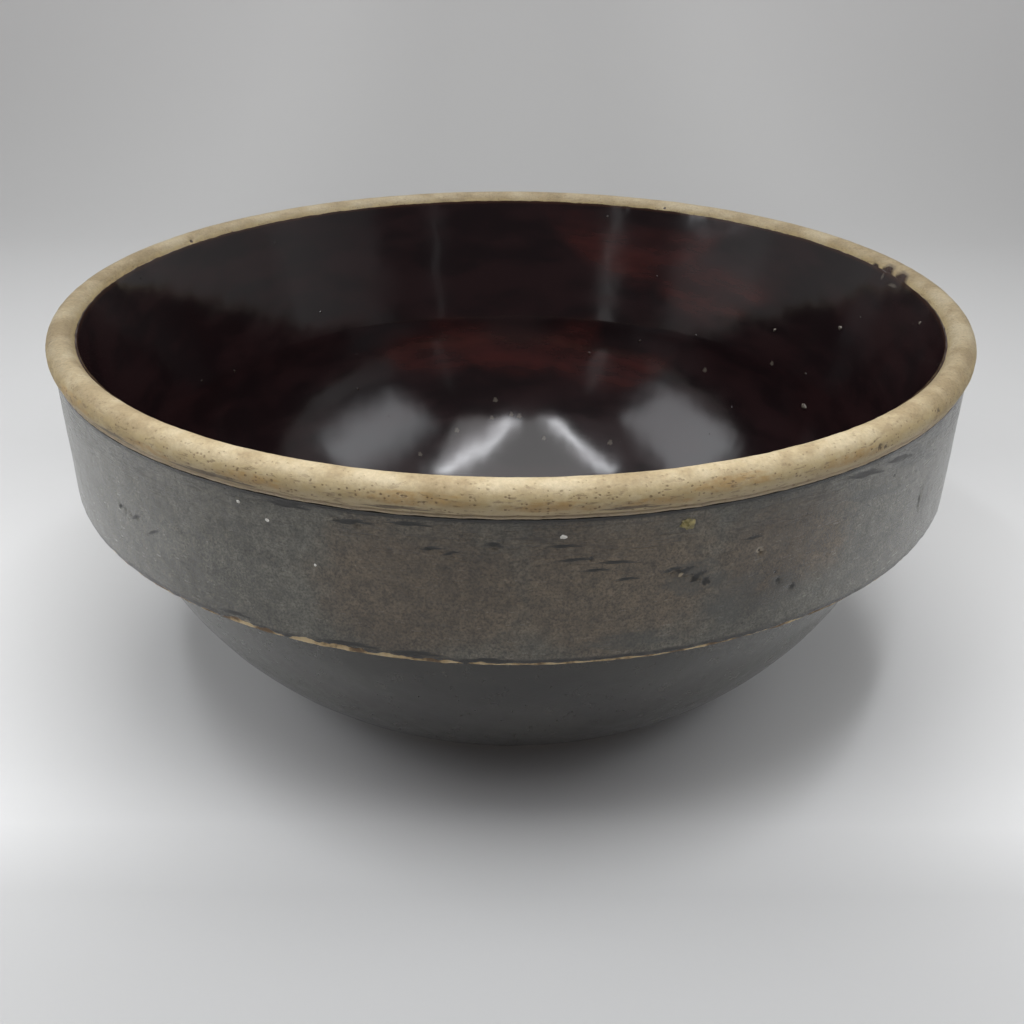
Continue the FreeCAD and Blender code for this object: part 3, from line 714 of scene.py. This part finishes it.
dull = reckon(tree, "MULTIPLY_ADD", cloudy, 0.05, 0.11)
tree.links.new(dull, shader.inputs["Roughness"])
tree.links.new(bump(tree, bubbles, 0.0002), shader.inputs["Normal"])
lining.data.materials.append(lining_finish)

# ---- The collar's coat
# A satin slip glaze, brown at the front and grey-green elsewhere, finely speckled from ash in the kiln.
# Towards its flanks it is painted paler: painted sheen.
# It was brushed level round the turning collar, skips along its two edges, and is pitted and scratched.
coat_top = under_lip.y - 0.0002
coat_foot = ledge + 0.0010
collar_front = Vector((collar_top_radius + coat, coat_top))
collar_low = Vector((collar_foot_radius + coat, coat_foot + coat))
collar_skin = [collar_front] + straight(collar_front, collar_low, 62)
collar_skin += turned((collar_foot_radius, coat_foot + coat), coat, 0, -90, 4)
back = [Vector((collar_foot_radius - coat, coat_foot)), Vector((collar_top_radius - coat, coat_top))]
collar = throw("collar_glaze_coat", collar_skin + back, 1400, closed=True)


def collar_edge(place):
    return rise(ledge + 0.0050 - place.z, 0, 0.0035)


def torn_front(place):
    """The stretch at the front left where the coat has pulled back from its edge."""
    turn = math.degrees(math.atan2(place.y, place.x))
    return collar_edge(place) * rise(turn, -124, -119) * rise(-90 - turn, 0, 6)


def on_collar_face(place):
    return rise(out_from_axis(place), collar_foot_radius + 0.0001, collar_foot_radius + 0.0003)


uneven(collar, torn_edge, 0.0011, collar_edge, direction="Z", middle=0.45)
uneven(collar, soft_lumps, 0.0004, collar_edge, direction="Z")
uneven(collar, torn_edge, 0.0022, torn_front, direction="Z", middle=0.3)
uneven(collar, soft_lumps, 0.00035, on_collar_face)
uneven(collar, small_lumps, 0.00016, on_collar_face)
collar_presses = [(place_on(collar_skin, bearing, depth), reach, deep) for bearing, depth, reach, deep in (
    (-65.3, 0.0255, 0.0016, 0.0007), (-74.6, 0.0266, 0.0016, 0.0005), (-73.9, 0.0270, 0.0020, 0.0006),
    (-73.2, 0.0278, 0.0016, 0.0005), (-72.5, 0.0288, 0.0018, 0.0006), (-71.8, 0.0296, 0.0016, 0.0005),
    (-71.1, 0.0310, 0.0016, 0.0005), (-97.3, 0.0179, 0.0012, 0.0003), (-96.2, 0.0184, 0.0012, 0.0003),
    (-95.1, 0.0190, 0.0012, 0.0003), (-94.1, 0.0196, 0.0010, 0.0003), (-91.4, 0.0163, 0.0014, 0.0004),
    (-136.0, 0.0306, 0.0012, 0.0003), (-135.0, 0.0308, 0.0013, 0.0004), (-134.0, 0.0310, 0.0012, 0.0003),
    (-132.5, 0.0312, 0.0012, 0.0003), (-38.7, 0.0320, 0.0018, 0.0004), (-38.5, 0.0300, 0.0014, 0.0003),
    (-38.9, 0.0345, 0.0012, 0.0003), (-62.6, 0.0360, 0.0014, 0.0004), (-60.9, 0.0395, 0.0014, 0.0004),
    (-56.4, 0.0330, 0.0012, 0.0003), (-104.0, 0.0130, 0.0016, 0.0004), (-106.0, 0.0120, 0.0014, 0.0003),
    (20.0, 0.0250, 0.0020, 0.0004), (70.0, 0.0310, 0.0022, 0.0004), (120.0, 0.0200, 0.0018, 0.0004),
    (165.0, 0.0280, 0.0020, 0.0004), (100.0, 0.0400, 0.0016, 0.0004), (45.0, 0.0150, 0.0016, 0.0003),
)]
press(collar, collar_presses)
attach(collar, "root")
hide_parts("collar_glaze")

collar_finish, tree, shader = new_finish("collar_satin")
shader.inputs["IOR"].default_value = 1.6
place = lay(tree, "TexCoord").outputs["Object"]
height = lay(tree, "SeparateXYZ", {"Vector": place}).outputs["Z"]
ash = share_of(tree, patches, Place=place, Size=0.045, Draw=1.3)
ash_and_flank_sheen = ramp(tree, ash, (0.15, (0.062, 0.058, 0.045)), (0.85, (0.098, 0.093, 0.074)))
# Painted sheen: the coat is painted paler grey towards its flanks, where light grazes it.
side = reckon(tree, "ABSOLUTE", lay(tree, "SeparateXYZ", {"Vector": place}).outputs["X"])
ash_and_flank_sheen = cover(tree, scale_to(tree, side, 0.075, 0.148), ash_and_flank_sheen, (0.142, 0.140, 0.122))
brown_front = marks_on(tree, place, collar_skin, (
    (-98.0, 0.032, 0.056, 0.026, 0), (-80.0, 0.030, 0.050, 0.026, 0), (-62.0, 0.028, 0.034, 0.018, 0),
    (95.0, 0.028, 0.070, 0.020, 0), (20.0, 0.030, 0.040, 0.018, 0), (170.0, 0.026, 0.040, 0.018, 0),
), ragged=0.35)
brown = cover(tree, ash, (0.066, 0.047, 0.029), (0.104, 0.076, 0.047))
colour = cover(tree, reckon(tree, "MULTIPLY", brown_front, 0.85), ash_and_flank_sheen, brown)
mottle = share_of(tree, patches, Place=place, Size=0.0034, Draw=1.0, Shift=2.0)
mottle = reckon(tree, "MULTIPLY_ADD", mottle, 0.50, 0.75)
wires = {"Vector": place, "Scale": 1500.0, "Detail": 3.0, "Roughness": 0.7}
fine = lay(tree, "TexNoise", wires).outputs["Fac"]
fine = scale_to(tree, fine, 0.35, 0.65, smooth=False)
tone = reckon(tree, "MULTIPLY", mottle, reckon(tree, "MULTIPLY_ADD", fine, 1.1, 0.45))
colour = lay(tree, "VectorMath", {0: colour, "Scale": tone}, operation="SCALE").outputs["Vector"]
pale = share_of(tree, specks, Place=place, Spacing=0.0016, Size=0.50, Draw=1.0)
colour = cover(tree, reckon(tree, "MULTIPLY", pale, 0.26), colour, (0.19, 0.165, 0.12))
clouds = marks_on(tree, place, collar_skin, (
    (-67.0, 0.0390, 0.012, 0.008, 0), (-62.0, 0.0400, 0.008, 0.006, 0), (-42.0, 0.0160, 0.020, 0.0030, 14),
    (-36.0, 0.0130, 0.014, 0.0026, 14), (-29.0, 0.0150, 0.012, 0.0022, 14), (-37.0, 0.0330, 0.003, 0.008, 0),
    (-72.0, 0.0300, 0.010, 0.006, 0), (-50.0, 0.0200, 0.016, 0.0020, 10),
    (-78.0, 0.0460, 0.014, 0.003, 0), (140.0, 0.0250, 0.020, 0.008, 0), (10.0, 0.0180, 0.020, 0.006, 0),
), ragged=0.9)
colour = cover(tree, reckon(tree, "MULTIPLY", clouds, 0.5), colour, (0.042, 0.044, 0.040))
streaks = share_of(tree, patches, Place=place, Size=0.011, Draw=14.0, Shift=9.0)
near_top = scale_to(tree, height, crest - 0.024, crest - 0.012)
streak_share = reckon(tree, "MULTIPLY_ADD", near_top, 0.40, 0.12)
streaks = reckon(tree, "MULTIPLY", scale_to(tree, streaks, 0.66, 0.98), streak_share)
colour = cover(tree, streaks, colour, (0.030, 0.025, 0.020))
dashes = marks_on(tree, place, collar_skin, (
    (-97.2, 0.0180, 0.0030, 0.0006, -8), (-95.4, 0.0190, 0.0024, 0.0005, -14),
    (-91.4, 0.0163, 0.0026, 0.0007, 10), (-84.0, 0.0207, 0.0052, 0.0005, -2),
    (-80.0, 0.0222, 0.0056, 0.0005, 3), (-82.0, 0.0240, 0.0040, 0.0005, 0),
    (-85.0, 0.0168, 0.0046, 0.0005, 0), (-106.0, 0.0490, 0.0100, 0.0008, -2),
    (-99.0, 0.0492, 0.0080, 0.0009, -2), (-119.0, 0.0484, 0.0060, 0.0008, -4),
    (-92.0, 0.0498, 0.0050, 0.0007, 0), (-79.0, 0.0272, 0.0036, 0.0005, 0),
    (-74.6, 0.0262, 0.0030, 0.0007, -8), (-73.2, 0.0270, 0.0026, 0.0009, -35),
    (-71.9, 0.0292, 0.0030, 0.0009, -38), (-71.0, 0.0312, 0.0014, 0.0014, 0),
    (-136.0, 0.0306, 0.0020, 0.0006, -28), (-133.0, 0.0311, 0.0032, 0.0006, -28),
    (-130.0, 0.0330, 0.0040, 0.0005, -28), (-66.2, 0.0210, 0.0030, 0.0005, 0),
    (-38.7, 0.0320, 0.0008, 0.0040, 0), (-104.5, 0.0128, 0.0060, 0.0008, -4),
    (-111.0, 0.0110, 0.0070, 0.0010, 0), (-99.0, 0.0117, 0.0060, 0.0007, 0),
    (-52.0, 0.0126, 0.0090, 0.0010, 8), (-46.0, 0.0130, 0.0080, 0.0009, 8),
    (-60.5, 0.0392, 0.0010, 0.0012, 0), (-62.6, 0.0360, 0.0010, 0.0009, 0),
    (60.0, 0.0220, 0.0060, 0.0006, 0), (110.0, 0.0280, 0.0080, 0.0005, 0),
    (150.0, 0.0200, 0.0060, 0.0006, 0),
), ragged=0.9)
worn = reckon(tree, "MULTIPLY_ADD", fine, 0.9, 0.45)
dashes = scale_to(tree, reckon(tree, "MULTIPLY", dashes, worn), 0.12, 0.6)
colour = cover(tree, dashes, colour, (0.009, 0.008, 0.006))
pits = share_of(tree, specks, Place=place, Spacing=0.0070, Size=0.13, Draw=1.4)
colour = cover(tree, pits, colour, (0.016, 0.013, 0.010))
bare_spots = marks_on(tree, place, collar_skin, (
    (-65.3, 0.0252, 0.0015, 0.0012, 0), (-73.7, 0.0281, 0.0010, 0.0005, -25),
    (-117.5, 0.0500, 0.0018, 0.0008, 0),
), ragged=0.4)
colour = cover(tree, bare_spots, colour, (0.28, 0.23, 0.16))
# Painted shade: dark lines along the coat's top, under the lip, and in patches just above its foot edge.
painted_shade_under_lip = scale_to(tree, height, coat_top - 0.0014, coat_top - 0.0004)
painted_shade_above_foot = scale_to(tree, height, coat_foot + 0.0019, coat_foot + 0.0008)
painted_shade_above_foot = reckon(tree, "MULTIPLY", painted_shade_above_foot, reckon(tree, "MULTIPLY_ADD", mottle, 1.6, -0.9))
painted_edge_shade = reckon(tree, "MAXIMUM", reckon(tree, "MULTIPLY", painted_shade_under_lip, 0.8), painted_shade_above_foot)
colour = cover(tree, scale_to(tree, painted_edge_shade, 0.0, 0.8, smooth=False), colour, (0.010, 0.008, 0.006))
tree.links.new(colour, shader.inputs["Base Color"])
dull = reckon(tree, "MULTIPLY_ADD", mottle, 0.10, 0.14)
dull = reckon(tree, "ADD", dull, reckon(tree, "MULTIPLY", reckon(tree, "MAXIMUM", streaks, dashes), 0.2))
tree.links.new(dull, shader.inputs["Roughness"])
grooves = share_of(tree, patches, Place=place, Size=0.011, Draw=14.0, Shift=9.0)
grooves = reckon(tree, "MULTIPLY", grooves, 0.5)
surface = reckon(tree, "SUBTRACT", reckon(tree, "MULTIPLY", fine, 0.35), grooves)
surface = reckon(tree, "SUBTRACT", surface, pits)
tree.links.new(bump(tree, surface, 0.00010), shader.inputs["Normal"])
collar.data.materials.append(collar_finish)

# ---- The wall's coat
# The same slip on the lower wall, thinner and smoother, from under the shoulder down to the wiped foot.
# It took less ash here, so it is darker and more even, with a few scratches and pinholes.
under_end = collar_foot_radius - 0.002
wall_skin = [Vector((under_end, ledge - coat))]
wall_skin += turned(cove_middle, cove - coat, 90, 180 + wall_top, 5)
wall_skin += turned(wall_middle, wall_curve + coat, wall_top, wall_foot + 1.1, 62)[1:]
wall_skin += turned(off_wall(wall_curve, foot_height + 0.0016), coat, -20, -110, 3)
back = turned(wall_middle, wall_curve - coat, wall_foot + 0.9, wall_top, 10)
back += turned(cove_middle, cove + coat, 180 + wall_top, 90, 3)[1:] + [Vector((under_end, ledge + coat))]
wall = throw("wall_glaze_coat", wall_skin + back, 1000, closed=True)


def on_wall_face(place):
    outward = (Vector((out_from_axis(place), place.z)) - wall_middle).length
    below_ledge = rise(ledge - 0.003 - place.z, 0, 0.004)
    return rise(outward, wall_curve + 0.0001, wall_curve + 0.0003) * below_ledge


def wall_foot_edge(place):
    return rise(0.0085 - place.z, 0, 0.003)


uneven(wall, soft_lumps, 0.00030, on_wall_face)
uneven(wall, small_lumps, 0.00007, on_wall_face)
uneven(wall, torn_edge, 0.0012, wall_foot_edge, direction="Z", middle=0.35)
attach(wall, "root")
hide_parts("wall_glaze")

wall_finish, tree, shader = new_finish("wall_satin")
shader.inputs["IOR"].default_value = 1.6
place = lay(tree, "TexCoord").outputs["Object"]
ash = share_of(tree, patches, Place=place, Size=0.035, Draw=1.5, Shift=4.0)
colour = ramp(tree, ash, (0.15, (0.013, 0.010, 0.0075)), (0.85, (0.024, 0.021, 0.016)))
# Painted light: the coat is painted paler towards its flanks.
side = reckon(tree, "ABSOLUTE", lay(tree, "SeparateXYZ", {"Vector": place}).outputs["X"])
colour = cover(tree, scale_to(tree, side, 0.020, 0.115), colour, (0.100, 0.100, 0.088))
# Painted shade: the coat is painted darker towards the foot.
low = scale_to(tree, lay(tree, "SeparateXYZ", {"Vector": place}).outputs["Z"], 0.050, 0.008)
colour = cover(tree, reckon(tree, "MULTIPLY", low, 0.5), colour, (0.008, 0.0075, 0.006))
mottle = share_of(tree, patches, Place=place, Size=0.0040, Draw=1.0, Shift=6.0)
wires = {"Vector": place, "Scale": 1400.0, "Detail": 3.0, "Roughness": 0.7}
fine = lay(tree, "TexNoise", wires).outputs["Fac"]
fine = scale_to(tree, fine, 0.2, 0.8, smooth=False)
tone = reckon(tree, "MULTIPLY_ADD", mottle, 0.4, 0.8)
tone = reckon(tree, "MULTIPLY", tone, reckon(tree, "MULTIPLY_ADD", fine, 0.5, 0.75))
colour = lay(tree, "VectorMath", {0: colour, "Scale": tone}, operation="SCALE").outputs["Vector"]
pale = share_of(tree, specks, Place=place, Spacing=0.0034, Size=0.26, Draw=1.0)
colour = cover(tree, reckon(tree, "MULTIPLY", pale, 0.18), colour, (0.13, 0.12, 0.09))
scratches = marks_on(tree, place, wall_skin, (
    (-103.0, 0.094, 0.0050, 0.0005, 14), (-104.5, 0.092, 0.0030, 0.0004, 20),
    (-79.0, 0.071, 0.0016, 0.0012, 0), (-79.6, 0.074, 0.0008, 0.0008, 0),
    (-120.0, 0.080, 0.0060, 0.0004, -10), (-62.0, 0.078, 0.0060, 0.0004, 6),
    (40.0, 0.090, 0.0070, 0.0005, 10), (90.0, 0.076, 0.0060, 0.0005, -12),
    (160.0, 0.085, 0.0080, 0.0005, 8),
), ragged=0.9)
colour = cover(tree, reckon(tree, "MULTIPLY", scratches, 0.8), colour, (0.012, 0.010, 0.009))
tree.links.new(colour, shader.inputs["Base Color"])
tree.links.new(reckon(tree, "MULTIPLY_ADD", mottle, 0.08, 0.20), shader.inputs["Roughness"])
tree.links.new(bump(tree, fine, 0.00003), shader.inputs["Normal"])
wall.data.materials.append(wall_finish)

# ---- The kiln grit
# Crumbs of lime and sand that fell on the wet slip in the kiln and fired fast to it.
# Four white specks and a larger glassy olive crumb are on the collar, and four darker crumbs in the lining.
crumb_kinds = {
    "white_grit": ((0.62, 0.60, 0.55), (0.80, 0.78, 0.73), 0.55),
    "olive_grit": ((0.13, 0.11, 0.03), (0.36, 0.30, 0.13), 0.30),
    "lining_grit": ((0.06, 0.05, 0.04), (0.16, 0.14, 0.11), 0.45),
}
crumb_marks = (
    ("white_grit", collar, collar_skin, -116.6, 0.0132, 0.00042, 1.2),
    ("white_grit", collar, collar_skin, -113.5, 0.0166, 0.00042, 1.5),
    ("white_grit", collar, collar_skin, -108.7, 0.0268, 0.00040, 1.1),
    ("white_grit", collar, collar_skin, -85.2, 0.0143, 0.00055, 1.7),
    ("olive_grit", collar, collar_skin, -73.5, 0.0137, 0.00145, 1.5),
    ("lining_grit", lining, lining_skin, 18.5, 0.0285, 0.00090, 1.1),
    ("lining_grit", lining, lining_skin, 33.5, 0.0397, 0.00070, 1.0),
    ("lining_grit", lining, lining_skin, 19.9, 0.0614, 0.00110, 1.4),
    ("lining_grit", lining, lining_skin, -2.6, 0.0095, 0.00070, 1.0),
)
chipped = cloud("chipped", 0.0009, 1)
crumbs = {}
for kind, skin_piece, skin, bearing, depth, size, long in crumb_marks:
    spot = place_on(skin, bearing, depth)
    touch, outward = skin_piece.closest_point_on_mesh(spot)[1:3]
    bpy.ops.object.select_all(action="DESELECT")
    bpy.ops.mesh.primitive_ico_sphere_add(subdivisions=3, radius=1, location=(0, 0, 0))
    crumb = bpy.context.object
    bpy.ops.object.mode_set(mode="EDIT")
    bpy.ops.transform.resize(value=(size * long, size, size * 0.55))
    bpy.ops.object.mode_set(mode="OBJECT")
    stand = outward.to_track_quat("Z", "Y").to_matrix().to_4x4()
    crumb.matrix_world = Matrix.Translation(touch - outward * size * 0.1) @ stand
    bpy.ops.object.transform_apply(location=True, rotation=True, scale=True)
    uneven(crumb, chipped, size * 0.9, lambda point: 1)
    bpy.ops.object.shade_smooth()
    crumbs.setdefault(kind, []).append(crumb)
for kind, (dark, light, roughness) in crumb_kinds.items():
    bpy.ops.object.select_all(action="DESELECT")
    for crumb in crumbs[kind]:
        crumb.select_set(True)
    grit = crumbs[kind][0]
    bpy.context.view_layer.objects.active = grit
    if len(crumbs[kind]) > 1:
        bpy.ops.object.join()
    grit.name = kind
    grit.data.name = kind
    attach(grit, "root")
    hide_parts("kiln_grit")
    grit_finish, tree, shader = new_finish(kind)
    place = lay(tree, "TexCoord").outputs["Object"]
    cloudy = share_of(tree, patches, Place=place, Size=0.0009, Draw=1.0)
    tree.links.new(cover(tree, cloudy, dark, light), shader.inputs["Base Color"])
    shader.inputs["Roughness"].default_value = roughness
    tree.links.new(bump(tree, cloudy, 0.0001), shader.inputs["Normal"])
    grit.data.materials.append(grit_finish)
